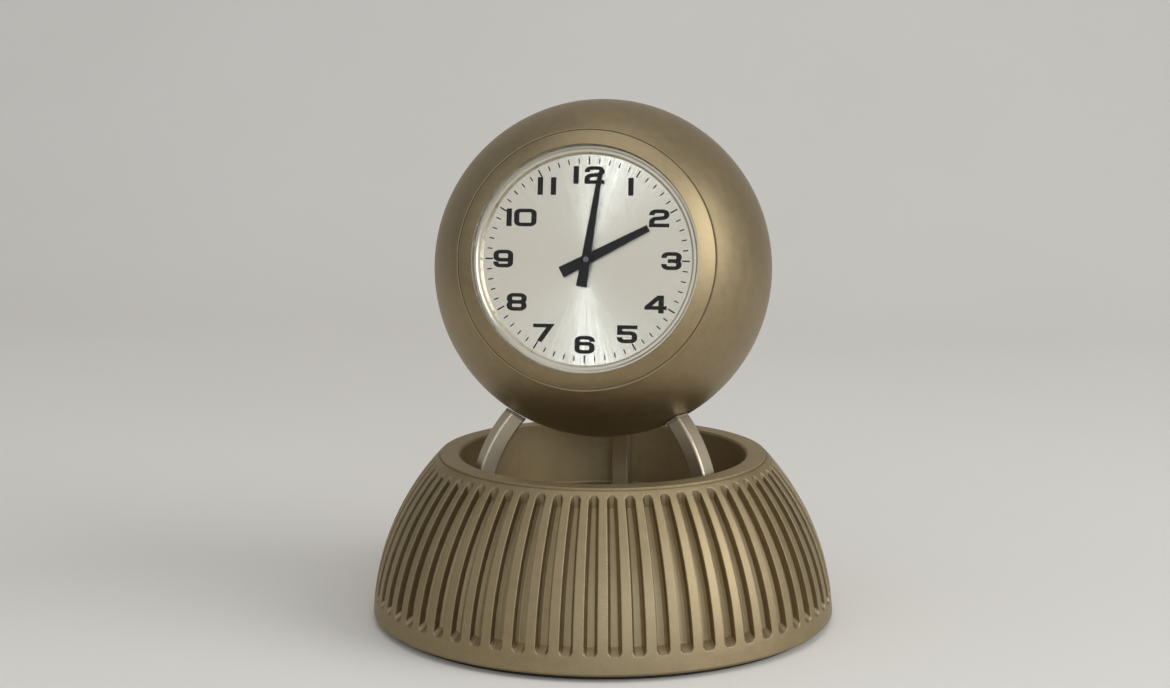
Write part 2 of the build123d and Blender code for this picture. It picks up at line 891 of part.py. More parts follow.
# Battery bay levels
tray_floor = back_plate_low - tray_wall
cell_z = tray_floor - cell_play / 2 - cell_radius
bay_half_length = cell_length / 2 + contact_thickness
bay_half_width = cell_radius + cell_play


def tray_screw_places():
    """Places of the two screws in the tray's floor."""
    return [(-tray_screw_offset, cell_middle), (tray_screw_offset, cell_middle)]


def make_tray():
    """Moulded battery tray, open to the rear, with walls that reach past the cell's middle."""
    low = cell_z - tray_hold
    box = bar(
        2 * (bay_half_length + tray_wall), 2 * (bay_half_width + tray_wall),
        low, back_plate_low, (0, cell_middle),
    )
    well = bar(2 * bay_half_length, 2 * bay_half_width, low, tray_floor, (0, cell_middle))
    holes = [
        rod(small_screw_radius + snug, tray_floor, back_plate_low, place) for place in tray_screw_places()
    ]
    sinks = [Pos(*place, tray_floor) * sunk_seat(snug) for place in tray_screw_places()]
    return box - well - holes - sinks


def make_cell():
    """Small round cell lying across the movement, its nub to the right."""
    body_length = cell_length - cell_nub_height
    start = -cell_length / 2
    body = rod(cell_radius, start, start + body_length)
    nub = rod(cell_nub_radius, start + body_length, cell_length / 2)
    return Pos(0, cell_middle, cell_z) * Rot(0, 90, 0) * (body + nub)


def make_contact(side):
    """Flat spring leaf between an end of the cell and the tray's end wall."""
    middle = side * (cell_length / 2 + contact_thickness / 2)
    return Pos(middle, cell_middle, cell_z) * Box(contact_thickness, contact_size, contact_size)


def make_board():
    """Circuit board on the back plate with its sealed chip."""
    low = back_plate_low - board_thickness
    board = bar(board_size[0], board_size[1], low, back_plate_low, board_middle)
    chip = bar(chip_size[0], chip_size[1], low - chip_size[2], low, board_middle)
    return board + chip


def make_oscillator():
    """Quartz can lying on the circuit board, beside the chip."""
    across = chip_size[0] / 2 + 2 * can_radius
    z = back_plate_low - board_thickness - can_radius - thread_fit
    can = Cylinder(can_radius, can_length)
    return Pos(board_middle[0] + across, board_middle[1], z) * Rot(90, 0, 0) * can


# Rear cover's spigot and the square-section seal in its slot
cover_radius = rear_bore - 2 * snug
cover_inner = cover_radius - cover_spigot_wall
seal_radius = rear_bore - snug
seal_inner = seal_radius - seal_section
seal_low = cover_rim_z + (cover_spigot - seal_section) / 2
seal_high = seal_low + seal_section


def make_rear_cover():
    """Push-in rear cover that closes the ball, with a sealed spigot and a fingernail notch."""
    inner = ball_radius - cover_wall
    inner_z = -math.sqrt(inner ** 2 - cover_inner ** 2)
    rim_edge = cover_rim_z - seam_chamfer
    slot_floor = seal_inner - thread_fit
    slot_low = seal_low - snug
    slot_high = seal_high + snug
    cover = turned(
        sphere_arc(ball_radius, -ball_radius, rim_edge),
        Polyline(
            sphere_point(ball_radius, rim_edge),
            (rear_seam_radius - seam_chamfer, cover_rim_z),
            (cover_radius, cover_rim_z),
            (cover_radius, slot_low),
            (slot_floor, slot_low),
            (slot_floor, slot_high),
            (cover_radius, slot_high),
            (cover_radius, cover_end),
            (cover_inner, cover_end),
            (cover_inner, inner_z),
        ),
        sphere_arc(inner, inner_z, -inner),
        Line((0, -inner), (0, -ball_radius)),
    )
    notch_y = -rear_seam_radius - notch_radius + notch_depth
    return cover - rod(notch_radius, -ball_radius, cover_rim_z, (0, notch_y))


arm = make_arm()
pad = make_pad()
arm_screw = make_arm_screw()

nodes = {
    "base_shell": make_base_shell(),
    "base_plate": make_base_plate(),
    "foot_pad": rod(base_radius - foot_inset, 0, foot_thickness),
    "dish": make_dish(),
    "tie_bolt": make_tie_bolt(),
    "arm_pads": group(turn * pad for turn in arm_turns.values()),
    "arm_screws": group(turn * arm_screw for turn in arm_turns.values()),
}
for side, turn in arm_turns.items():
    nodes["cradle_arm_" + side] = turn * arm

clock_pieces = {
    "ball_shell": make_ball_shell(),
    "bezel": make_bezel(),
    "crystal": make_crystal(),
    "crystal_gasket": ring(crystal_radius, crystal_radius - crystal_land, ring_top, gasket_top),
    "inner_ring": make_inner_ring(),
    "dial": ring(crystal_radius, dial_hole_radius, dial_back, dial_front),
    "movement_carrier": make_carrier(),
    "carrier_screws": group(make_carrier_screw(place) for place in carrier_screw_places()),
    "front_plate": make_front_plate(),
    "back_plate": make_back_plate(),
    "plate_pillars": group(make_pillar(place) for place in pillar_places()),
    "pillar_screws": group(
        make_sunk_screw(place, back_plate_low, small_screw_length) for place in pillar_places()
    ),
    "motion_stud": make_motion_stud(),
    "stator": make_stator(),
    "motor_coil": make_coil(),
    "circuit_board": make_board(),
    "oscillator": make_oscillator(),
    "battery_tray": make_tray(),
    "tray_screws": group(
        make_sunk_screw(place, tray_floor, tray_wall + movement_plate) for place in tray_screw_places()
    ),
    "battery_cell": make_cell(),
    "battery_contacts": group(make_contact(side) for side in (-1, 1)),
    "centre_wheel": make_centre_wheel(),
    "cannon_pinion": make_cannon_pinion(),
    "minute_hand": make_hand(
        minute_reach, minute_tail, minute_wide, minute_slim, minute_angle,
        minute_hand_low, cannon_radius + thread_fit,
    ),
    "hour_wheel": make_hour_wheel(),
    "hour_hand": make_hand(
        hour_reach, hour_tail, hour_wide, hour_slim, hour_angle,
        hour_hand_low, hour_pipe_radius + thread_fit,
    ),
    "motion_wheel": make_motion_wheel(),
    "intermediate_wheel": make_intermediate_wheel(),
    "rotor_pinion": make_rotor_pinion(),
    "rotor_magnet": ring(
        magnet_radius, pivot_radius + thread_fit, magnet_low, magnet_high, rotor_place
    ),
    "setting_stem": make_setting_stem(),
    "setting_knob": make_setting_knob(),
    "rear_cover": make_rear_cover(),
    "cover_seal": ring(seal_radius, seal_inner, seal_low, seal_high),
}

# The clock's own axis points out of the dial, tilted up from the front
tilt = math.radians(face_tilt)
clock_plane = Plane((0, 0, ball_centre), (1, 0, 0), (0, -math.cos(tilt), math.sin(tilt)))
for name, piece in clock_pieces.items():
    nodes[name] = clock_plane * piece

os.makedirs("parts", exist_ok=True)
for name, piece in nodes.items():
    export_step(piece, os.path.join("parts", name + ".step"))
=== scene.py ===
import json
import math

import bpy
from mathutils import Matrix, Vector


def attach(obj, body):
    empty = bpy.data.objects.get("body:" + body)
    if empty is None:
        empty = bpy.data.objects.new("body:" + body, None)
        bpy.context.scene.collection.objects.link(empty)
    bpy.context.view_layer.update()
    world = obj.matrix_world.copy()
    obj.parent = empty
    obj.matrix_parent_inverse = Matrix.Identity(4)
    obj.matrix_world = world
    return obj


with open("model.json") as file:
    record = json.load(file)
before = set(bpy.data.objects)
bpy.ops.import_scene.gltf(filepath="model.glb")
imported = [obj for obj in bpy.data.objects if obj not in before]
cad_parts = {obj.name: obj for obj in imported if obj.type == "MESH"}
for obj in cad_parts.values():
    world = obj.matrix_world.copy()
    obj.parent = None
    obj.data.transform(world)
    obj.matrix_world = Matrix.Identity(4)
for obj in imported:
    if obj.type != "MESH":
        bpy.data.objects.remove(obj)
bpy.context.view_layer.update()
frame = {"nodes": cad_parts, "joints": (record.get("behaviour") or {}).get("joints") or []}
nodes = frame["nodes"]


# Foot: a black rubber disc glued under the base, so that the metal edge stands just clear of the table.
# It is punched from sheet with a fine pebbled face.
class Wire:
    """An output of a shader node. Arithmetic on it adds Math nodes to its finish."""

    def __init__(self, finish, socket):
        self.finish = finish
        self.socket = socket

    def maths(self, operation, first, second):
        return self.finish.node("ShaderNodeMath", {"operation": operation}, {0: first, 1: second})

    def __add__(self, other):
        return self.maths("ADD", self, other)

    def __sub__(self, other):
        return self.maths("SUBTRACT", self, other)

    def __rsub__(self, other):
        return self.maths("SUBTRACT", other, self)

    def __mul__(self, other):
        return self.maths("MULTIPLY", self, other)

    def __truediv__(self, other):
        return self.maths("DIVIDE", self, other)

    def __rtruediv__(self, other):
        return self.maths("DIVIDE", other, self)

    __radd__ = __add__
    __rmul__ = __mul__


class Finish:
    """A material with one Principled shader and the nodes that feed it."""

    def __init__(self, name, constants):
        self.material = bpy.data.materials.new(name)
        self.material.use_nodes = True
        self.tree = self.material.node_tree
        self.shader = self.tree.nodes["Principled BSDF"]
        for socket, value in constants.items():
            self.shader.inputs[socket].default_value = value

    def join(self, socket, value):
        """Link a wire to a socket, or set the socket to a plain value."""
        if isinstance(value, Wire):
            self.tree.links.new(value.socket, socket)
        else:
            socket.default_value = value

    def node(self, kind, settings, inputs, outlet=0):
        """Add a node: its settings first, then the value or wire of each socket."""
        made = self.tree.nodes.new(kind)
        for setting, value in settings.items():
            setattr(made, setting, value)
        for socket, value in inputs.items():
            self.join(made.inputs[socket], value)
        return Wire(self, made.outputs[outlet])

    def place(self):
        """Position on the piece, in metres."""
        return self.node("ShaderNodeTexCoord", {}, {}, "Object")

    def stretched(self, place, scale):
        """Position scaled apart along each axis, so that a pattern runs along the short one."""
        return self.node("ShaderNodeMapping", {}, {"Vector": place, "Scale": scale})

    def noise(self, place, scale, detail):
        """Soft random pattern between 0 and 1, finer at a larger scale."""
        return self.node("ShaderNodeTexNoise", {}, {"Vector": place, "Scale": scale, "Detail": detail})

    def blend(self, share, first, second):
        """Mix of two colours that other nodes give."""
        return self.node("ShaderNodeMix", {"data_type": "RGBA"}, {0: share, 6: first, 7: second}, 2)

    def tint(self, share, first, second):
        """Colour that runs from the first to the second."""
        return self.blend(share, (*first, 1.0), (*second, 1.0))

    def eased(self, radius, samples):
        """Normal with the edges rounded over, at a radius in metres."""
        return self.node("ShaderNodeBevel", {"samples": samples}, {"Radius": radius})

    def feed(self, socket, value):
        """Link a wire to the Principled shader."""
        self.join(self.shader.inputs[socket], value)

    def rough(self, pattern, least, most):
        """Feed the shader's roughness with a pattern, from a least to a most."""
        self.feed("Roughness", pattern * (most - least) + least)

    def bump(self, height, depth, strength, under=None):
        """Feed the shader's normal with a relief of a depth in metres, on another normal if one is given."""
        relief = {"Height": height, "Distance": depth, "Strength": strength}
        if under is not None:
            relief["Normal"] = under
        self.feed("Normal", self.node("ShaderNodeBump", {}, relief))

    def put_on(self, *pieces):
        """Give the finish to pieces, in place of what they had."""
        for piece in pieces:
            piece.data.materials.clear()
            piece.data.materials.append(self.material)


def pebbled_rubber(name, dark, light):
    """Matte rubber with a fine pebble and a trace of dust."""
    finish = Finish(name, {"Roughness": 0.75, "Specular IOR Level": 0.3})
    place = finish.place()
    dust = finish.noise(place, scale=90.0, detail=4.0)
    finish.feed("Base Color", finish.tint(dust, dark, light))
    finish.bump(finish.noise(place, scale=2600.0, detail=1.0), depth=0.00006, strength=0.6)
    return finish


foot_rubber = pebbled_rubber("foot_rubber", dark=(0.012, 0.011, 0.010), light=(0.035, 0.032, 0.028))
foot_rubber.put_on(nodes["foot_pad"])


# Dome: turned from aluminium and milled with sixty-four flutes, then blasted to an even satin and anodised
# champagne. The dish that closes it is anodised with it and is flatter; its colour is painted a shade paler,
# as painted light in its shaded bowl.
CHAMPAGNE = (0.365, 0.288, 0.170)
CHAMPAGNE_DEEP = (0.260, 0.200, 0.112)
CLOUD_SHARE = 0.7
MOTTLE_SHARE = 0.9
SPECKLE_SHARE = 0.6
PATINA_DROP = 0.6
CLOUD_GLOSS = 0.08
MOTTLE_GLOSS = 0.10


def satin_anodised(name, roughness, grain, edge, tone):
    """Blasted and anodised metal: fine grain, faint clouds in tone and gloss, and softly broken edges."""
    finish = Finish(name, {"Metallic": 1.0})
    place = finish.place()
    clouds = finish.noise(place, scale=55.0, detail=4.0)
    mottle = finish.noise(place, scale=480.0, detail=4.0)
    speckle = finish.noise(place, scale=3200.0, detail=2.0)
    deep, pale = (tuple(tone * channel for channel in colour) for colour in (CHAMPAGNE_DEEP, CHAMPAGNE))
    patina = clouds * CLOUD_SHARE + mottle * MOTTLE_SHARE + speckle * SPECKLE_SHARE - PATINA_DROP
    finish.feed("Base Color", finish.tint(patina, deep, pale))
    least = roughness - (CLOUD_GLOSS + MOTTLE_GLOSS) / 2
    finish.feed("Roughness", clouds * CLOUD_GLOSS + mottle * MOTTLE_GLOSS + least)
    finish.bump(speckle, depth=grain, strength=0.5, under=finish.eased(edge, samples=6))
    return finish


base_satin = satin_anodised("base_satin", roughness=0.50, grain=0.00003, edge=0.00040, tone=1.0)
base_satin.put_on(nodes["base_shell"])
# The dish's tone of 1.18 is painted light: a paler copy of the dome's champagne that lifts the shade inside
# the bowl.
dish_satin_painted_lift = satin_anodised("dish_satin_painted_lift", roughness=0.60, grain=0.00003, edge=0.00015, tone=1.18)
dish_satin_painted_lift.put_on(nodes["dish"])


# Steel below: the closing plate, the tie bolt and the screws, all turned bright and left plain.
# Fine rings from the turning run round their upright axes.
BLOOM_TONE = 0.72
TURNED_STRETCH = (1.0, 1.0, 14.0)
TURNED_SWING = 0.08


def turned_steel(name, tone, roughness):
    """Bright turned steel with fine lines and a grey bloom."""
    finish = Finish(name, {"Metallic": 1.0})
    place = finish.place()
    lines = finish.noise(finish.stretched(place, TURNED_STRETCH), scale=900.0, detail=2.0)
    bloom = finish.noise(place, scale=160.0, detail=3.0)
    dull = tuple(channel * BLOOM_TONE for channel in tone)
    finish.feed("Base Color", finish.tint(bloom, dull, tone))
    finish.rough(lines, least=roughness - TURNED_SWING, most=roughness + TURNED_SWING)
    finish.bump(lines, depth=0.00001, strength=0.5)
    return finish


plain_steel = turned_steel("plain_steel", tone=(0.56, 0.56, 0.55), roughness=0.34)
plain_steel.put_on(*(nodes[name] for name in ("base_plate", "tie_bolt", "arm_screws")))


# Arms: three square bars, bent to one curve and brushed along their length, paler than the dome.
# Each is screwed up through the dish and ends in a thin tinted nylon pad under the ball.
ARM_PALE = (0.57, 0.495, 0.37)
ARM_SHADE = (0.46, 0.39, 0.28)
ARM_EDGE = 0.00025
BRUSH_STRETCH = (1.0, 1.0, 0.06)
arm_brushed = Finish("arm_brushed", {"Metallic": 1.0})
arm_place = arm_brushed.place()
arm_lines = arm_brushed.noise(arm_brushed.stretched(arm_place, BRUSH_STRETCH), scale=6500.0, detail=3.0)
arm_brushed.feed("Base Color", arm_brushed.tint(arm_lines, ARM_SHADE, ARM_PALE))
arm_brushed.rough(arm_lines, least=0.28, most=0.48)
arm_brushed.bump(arm_lines, depth=0.00001, strength=0.5, under=arm_brushed.eased(ARM_EDGE, samples=6))
arm_brushed.put_on(*(nodes["cradle_arm_" + side] for side in ("left", "right", "rear")))


def moulded_plastic(name, dark, light):
    """Moulded plastic with a fine even spark texture and a soft sheen."""
    finish = Finish(name, {"Specular IOR Level": 0.45})
    place = finish.place()
    spark = finish.noise(place, scale=3600.0, detail=2.0)
    flow = finish.noise(place, scale=70.0, detail=3.0)
    finish.feed("Base Color", finish.tint(flow, dark, light))
    finish.rough(spark, least=0.46, most=0.62)
    finish.bump(spark, depth=0.00002, strength=0.5)
    return finish


tinted_nylon = moulded_plastic("tinted_nylon", dark=(0.20, 0.165, 0.115), light=(0.26, 0.22, 0.155))
tinted_nylon.put_on(nodes["arm_pads"])


# Ball: a spun shell, with the bezel in front and the push-in cover behind, finished as one surface.
# It has the dome's champagne anodising, blasted slightly finer. A rubber ring seals the cover in its seat.
ball_satin = satin_anodised("ball_satin", roughness=0.46, grain=0.00002, edge=0.00003, tone=1.0)
ball_satin.put_on(*(nodes[name] for name in ("ball_shell", "bezel", "rear_cover")))
soft_rubber = pebbled_rubber("soft_rubber", dark=(0.016, 0.015, 0.014), light=(0.030, 0.028, 0.026))
soft_rubber.put_on(nodes["cover_seal"])


# Ring behind the crystal: turned bright, with a small step that catches a line of light.
# Fine lines run round the clock's axis, which points out of the dial from the ball's middle.
joints = {joint["name"]: joint for joint in frame["joints"]}
ball_middle = Vector(joints["ball_tilt"]["pos_m"])
facing = -Vector(joints["minute_turn"]["axis"]).normalized()
rightward = Vector((1.0, 0.0, 0.0))
upward = facing.cross(rightward)
clock_turn = Matrix((rightward, upward, facing)).transposed()


def on_clock(finish):
    """Position counted from the ball's middle: right, up the dial and out of it."""
    own = {
        "Vector": finish.place(),
        "Location": ball_middle,
        "Rotation": clock_turn.to_euler(),
    }
    return finish.node("ShaderNodeMapping", {"vector_type": "TEXTURE"}, own)


def parted(finish, vector):
    """The three numbers of a vector."""
    return [finish.node("ShaderNodeSeparateXYZ", {}, {0: vector}, axis) for axis in ("X", "Y", "Z")]


def reach(finish, across, along):
    """Distance from the axis."""
    return finish.node("ShaderNodeMath", {"operation": "SQRT"}, {0: across * across + along * along})


def gathered(finish, first, second, third=0.0):
    """A vector of three numbers."""
    return finish.node("ShaderNodeCombineXYZ", {}, {0: first, 1: second, 2: third})


# The ring's warm cream tone is partly its own bright metal and partly a painted reflection of the champagne
# bezel round it.
RING_BRIGHT = (0.70, 0.65, 0.56)
RING_SHADE = (0.60, 0.55, 0.46)
bright_ring = Finish("bright_ring", {"Metallic": 1.0})
ring_across, ring_along, ring_out = parted(bright_ring, on_clock(bright_ring))
ring_reach = reach(bright_ring, ring_across, ring_along)
ring_lines = bright_ring.noise(gathered(bright_ring, ring_reach, ring_out), scale=14000.0, detail=2.0)
bright_ring.feed("Base Color", bright_ring.tint(ring_lines, RING_SHADE, RING_BRIGHT))
bright_ring.rough(ring_lines, least=0.28, most=0.36)
bright_ring.bump(ring_lines, depth=0.000001, strength=0.2)
bright_ring.put_on(nodes["inner_ring"])


# Dial: a silvered disc, brushed in fine rays from its middle, so that light gathers in two fans.
# Each brush line leans the surface sideways a little, which is what spreads the light across the rays.
RAYS_PER_RADIAN = 1400.0
RAY_LEAN = 2.2
STREAKS_PER_RADIAN = 90.0
RAY_WANDER = 8.0
SILVER = (0.79, 0.735, 0.645)
SILVER_SHADE = (0.70, 0.65, 0.565)
dial_silver = Finish("dial_silver", {"Metallic": 1.0})
dial_across, dial_along, _ = parted(dial_silver, on_clock(dial_silver))
dial_reach = reach(dial_silver, dial_across, dial_along)
dial_angle = dial_silver.node("ShaderNodeMath", {"operation": "ARCTAN2"}, {0: dial_along, 1: dial_across})
wander = dial_reach * RAY_WANDER
ray_place = gathered(dial_silver, dial_angle * RAYS_PER_RADIAN, wander)
rays = dial_silver.noise(ray_place, scale=1.0, detail=1.0)
streak_place = gathered(dial_silver, dial_angle * STREAKS_PER_RADIAN, wander)
streaks = dial_silver.noise(streak_place, scale=1.0, detail=2.0)
lean = (rays - 0.5) * RAY_LEAN / dial_reach
leaning = gathered(dial_silver, dial_along * lean * -1.0, dial_across * lean, 1.0)
turned = {"Vector": leaning, "Rotation": clock_turn.to_euler()}
ray_facing = dial_silver.node("ShaderNodeMapping", {}, turned)
ray_normal = dial_silver.node("ShaderNodeVectorMath", {"operation": "NORMALIZE"}, {0: ray_facing})
halved = {0: ray_normal, 1: (0.5, 0.5, 0.5), 2: (0.5, 0.5, 0.5)}
ray_colour = dial_silver.node("ShaderNodeVectorMath", {"operation": "MULTIPLY_ADD"}, halved)
leaned = dial_silver.node("ShaderNodeNormalMap", {"space": "OBJECT"}, {"Color": ray_colour})
dial_silver.feed("Normal", leaned)
dial_silver.feed("Base Color", dial_silver.tint(streaks, SILVER_SHADE, SILVER))
dial_silver.rough(streaks, least=0.22, most=0.28)
dial_silver.put_on(nodes["dial"])


# Minute track: sixty fine strokes printed in dark ink, longer at the hours.
# One stroke is drawn for the top of the hour and one for each of the four minutes after it, and each is spun
# to twelve round the dial. The print sits turned by a hair.
dial_level = max((vertex.co - ball_middle).dot(facing) for vertex in nodes["dial"].data.vertices)
DIAL_ROLL = math.radians(0.25)
TRACK_RADIUS = 0.0210
HOUR_STROKE = (0.00030, 0.00165)
MINUTE_STROKE = (0.00024, 0.00105)
PRINT_DEPTH = 0.00004
INK = (0.006, 0.006, 0.005)
INK_THIN = (0.014, 0.013, 0.012)
HOURS = 12
STROKES_PER_HOUR = 5

dial_plane = (
    Matrix.Translation(ball_middle + facing * dial_level)
    @ clock_turn.to_4x4()
    @ Matrix.Rotation(DIAL_ROLL, 4, "Z")
)


def start_piece(name):
    """Deselect all and start a new piece as a unit cube, open in edit mode."""
    bpy.ops.object.select_all(action="DESELECT")
    bpy.ops.mesh.primitive_cube_add(size=1.0)
    piece = bpy.context.object
    piece.name = name
    piece.data.name = name
    bpy.ops.object.mode_set(mode="EDIT")
    return piece


def select_only(*pieces):
    """Select these pieces and no others, with the first one active."""
    bpy.ops.object.select_all(action="DESELECT")
    for piece in pieces:
        piece.select_set(True)
    bpy.context.view_layer.objects.active = pieces[0]


def set_on_dial(piece):
    """Lay a flat piece on the dial, with its place in its mesh."""
    select_only(piece)
    piece.matrix_world = dial_plane
    bpy.ops.object.transform_apply(location=True, rotation=True, scale=True)


def ring_of_strokes(name, size, turn):
    """One stroke, its edges eased, spun to twelve round the dial from a turn past the hour."""
    piece = start_piece(name)
    bpy.ops.transform.resize(value=(size[0], size[1], PRINT_DEPTH))
    bpy.ops.transform.translate(value=(0.0, TRACK_RADIUS, PRINT_DEPTH / 2))
    bpy.ops.mesh.bevel(offset=PRINT_DEPTH / 4, segments=1, affect="EDGES")
    bpy.ops.mesh.select_all(action="SELECT")
    bpy.ops.transform.rotate(value=turn, orient_axis="Z", center_override=(0.0, 0.0, 0.0))
    bpy.ops.mesh.spin(
        steps=HOURS, dupli=True, angle=2 * math.pi, center=(0.0, 0.0, 0.0), axis=(0.0, 0.0, 1.0)
    )
    bpy.ops.mesh.select_all(action="SELECT")
    bpy.ops.mesh.remove_doubles(threshold=PRINT_DEPTH / 100)
    bpy.ops.object.mode_set(mode="OBJECT")
    return piece


dial_ink = Finish("dial_ink", {"Roughness": 0.55, "Specular IOR Level": 0.2})
ink_cover = dial_ink.noise(dial_ink.place(), scale=1800.0, detail=3.0)
dial_ink.feed("Base Color", dial_ink.tint(ink_cover, INK, INK_THIN))

step_turn = 2 * math.pi / (HOURS * STROKES_PER_HOUR)
track = [ring_of_strokes("hour_strokes", HOUR_STROKE, 0.0)]
for step in range(1, STROKES_PER_HOUR):
    track.append(ring_of_strokes("minute_strokes_%d" % step, MINUTE_STROKE, step * step_turn))
for strokes in track:
    set_on_dial(strokes)
    dial_ink.put_on(strokes)
    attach(strokes, "ball")


# Hour numbers: wide square-shouldered figures in the same ink, upright all round the dial.
# Each figure is bent from strokes of one width, then drawn out sideways, which makes its uprights bold.
FIGURE_HEIGHT = 0.00375
FIGURE_STROKE = 0.00078
FIGURE_NARROW = 0.00295
FIGURE_WIDEN = 1.45
SHOULDER = 0.00062
SHOULDER_STEPS = 6
MERGE_DISTANCE = FIGURE_STROKE / 100
CORNER_REACH = FIGURE_STROKE / 10
FIGURE_GAPS = {10: 0.00050, 11: 0.00170, 12: 0.00125}
NUMBER_RADIUS = 0.01795
SIDE_PLACES = {
    2: (0.01515, 0.00895),
    4: (0.01485, -0.00915),
    8: (-0.01480, -0.00915),
    10: (-0.01425, 0.00880),
}

crown = (FIGURE_HEIGHT - FIGURE_STROKE) / 2
flank = (FIGURE_NARROW - FIGURE_STROKE) / 2
broad = flank * 1.18
half = FIGURE_HEIGHT / 2
hook = crown - 0.00085
waist = 0.00012
bar_level = -0.00075
bar_end = flank * 1.49
stem_across = flank * 0.73
slant_foot = (-flank * 1.21, bar_level + 0.00005)
slant_head = (flank * 0.50, half - 0.00024)
loop_top = waist + 0.00012

# Each stroke: its points, which of them are rounded, and whether it closes on itself.
FIGURES = {
    "0": [([(-broad, crown), (broad, crown), (broad, -crown), (-broad, -crown)], (0, 1, 2, 3), True)],
    "1": [([(0.0, -half), (0.0, half)], (), False)],
    "2": [
        (
            [
                (-flank, hook), (-flank, crown), (flank, crown), (flank, waist),
                (-flank, -waist), (-flank, -crown), (flank + FIGURE_STROKE / 2, -crown),
            ],
            (1, 2, 3, 4),
            False,
        )
    ],
    "3": [
        (
            [(-flank, hook), (-flank, crown), (flank, crown), (flank, 0.0), (-flank / 2, 0.0)],
            (1, 2, 3),
            False,
        ),
        (
            [(-flank, -hook), (-flank, -crown), (flank, -crown), (flank, 0.0), (-flank / 2, 0.0)],
            (1, 2, 3),
            False,
        ),
    ],
    "4": [
        ([(-bar_end, bar_level), (bar_end, bar_level)], (), False),
        ([slant_foot, slant_head], (), False),
        ([(stem_across, -half), (stem_across, half)], (), False),
    ],
    "5": [
        (
            [
                (flank + FIGURE_STROKE / 2, crown), (-flank, crown), (-flank, loop_top),
                (flank, loop_top), (flank, -crown), (-flank, -crown), (-flank, -hook),
            ],
            (3, 4, 5),
            False,
        )
    ],
    "6": [
        ([(-flank, loop_top), (flank, loop_top), (flank, -crown), (-flank, -crown)], (1, 2, 3), True),
        ([(-flank, -waist), (-flank, crown), (flank, crown), (flank, hook)], (1, 2), False),
    ],
    "7": [
        (
            [(-flank - FIGURE_STROKE / 2, crown), (flank, crown), (-flank / 2, -half)],
            (),
            False,
        )
    ],
    "8": [
        ([(-flank, crown), (flank, crown), (flank, 0.0), (-flank, 0.0)], (0, 1, 2, 3), True),
        ([(-flank, 0.0), (flank, 0.0), (flank, -crown), (-flank, -crown)], (0, 1, 2, 3), True),
    ],
    "9": [
        ([(flank, -loop_top), (-flank, -loop_top), (-flank, crown), (flank, crown)], (1, 2, 3), True),
        ([(flank, waist), (flank, -crown), (-flank, -crown), (-flank, -hook)], (1, 2), False),
    ],
}


def bent_stroke(points, rounded, closed):
    """One flat stroke: a line bent through its points, raised to a wall and thickened."""
    piece = start_piece("stroke")
    bpy.ops.mesh.merge(type="CENTER")
    bpy.ops.transform.translate(value=(*points[0], 0.0))
    route = points + points[:1] if closed else points
    for here, there in zip(route, route[1:]):
        step = (there[0] - here[0], there[1] - here[1], 0.0)
        bpy.ops.mesh.extrude_region_move(TRANSFORM_OT_translate={"value": step})
    bpy.ops.mesh.select_all(action="SELECT")
    bpy.ops.mesh.remove_doubles(threshold=MERGE_DISTANCE)
    bpy.ops.object.mode_set(mode="OBJECT")
    corners = [Vector((*points[index], 0.0)) for index in rounded]
    for edge in piece.data.edges:
        edge.select = False
    for vertex in piece.data.vertices:
        vertex.select = any((vertex.co - corner).length < CORNER_REACH for corner in corners)
    bpy.ops.object.mode_set(mode="EDIT")
    bpy.ops.mesh.select_mode(type="VERT")
    if rounded:
        bpy.ops.mesh.bevel(
            offset=SHOULDER, offset_type="OFFSET", segments=SHOULDER_STEPS, affect="VERTICES"
        )
    bpy.ops.mesh.select_all(action="SELECT")
    bpy.ops.mesh.remove_doubles(threshold=MERGE_DISTANCE)
    bpy.ops.mesh.extrude_region_move(TRANSFORM_OT_translate={"value": (0.0, 0.0, PRINT_DEPTH)})
    bpy.ops.mesh.select_all(action="SELECT")
    bpy.ops.mesh.normals_make_consistent(inside=False)
    bpy.ops.object.mode_set(mode="OBJECT")
    wall = piece.modifiers.new("wall", "SOLIDIFY")
    wall.thickness = FIGURE_STROKE
    wall.offset = 0.0
    wall.use_even_offset = True
    bpy.ops.object.modifier_apply(modifier=wall.name)
    return piece


def figure(mark, across, along):
    """All the strokes of one figure, fused, drawn out sideways and moved to its place on the dial."""
    strokes = [bent_stroke(*stroke) for stroke in FIGURES[mark]]
    whole = strokes[0]
    select_only(whole)
    for other in strokes[1:]:
        fuse = whole.modifiers.new("fuse", "BOOLEAN")
        fuse.operation = "UNION"
        fuse.solver = "EXACT"
        fuse.object = other
        bpy.ops.object.modifier_apply(modifier=fuse.name)
        bpy.data.objects.remove(other)
    bpy.ops.object.mode_set(mode="EDIT")
    bpy.ops.mesh.select_all(action="SELECT")
    bpy.ops.mesh.remove_doubles(threshold=MERGE_DISTANCE)
    bpy.ops.mesh.dissolve_degenerate(threshold=MERGE_DISTANCE)
    bpy.ops.transform.resize(value=(FIGURE_WIDEN, 1.0, 1.0), center_override=(0.0, 0.0, 0.0))
    bpy.ops.transform.translate(value=(across, along, 0.0))
    bpy.ops.mesh.normals_make_consistent(inside=False)
    bpy.ops.object.mode_set(mode="OBJECT")
    return whole


def figure_width(mark):
    """Width of a figure once it is drawn out."""
    odd = {"0": 2 * broad + FIGURE_STROKE, "1": FIGURE_STROKE}
    return FIGURE_WIDEN * odd.get(mark, FIGURE_NARROW)


def hour_number(hour):
    """The figures of one hour, side by side about its place on the dial."""
    marks = str(hour)
    gap = FIGURE_GAPS.get(hour, 0.0)
    angle = hour * 2 * math.pi / HOURS
    middle = SIDE_PLACES.get(hour, (NUMBER_RADIUS * math.sin(angle), NUMBER_RADIUS * math.cos(angle)))
    total = sum(figure_width(mark) for mark in marks) + gap
    left = middle[0] - total / 2
    made = []
    for mark in marks:
        made.append(figure(mark, left + figure_width(mark) / 2, middle[1]))
        left += figure_width(mark) + gap
    return made


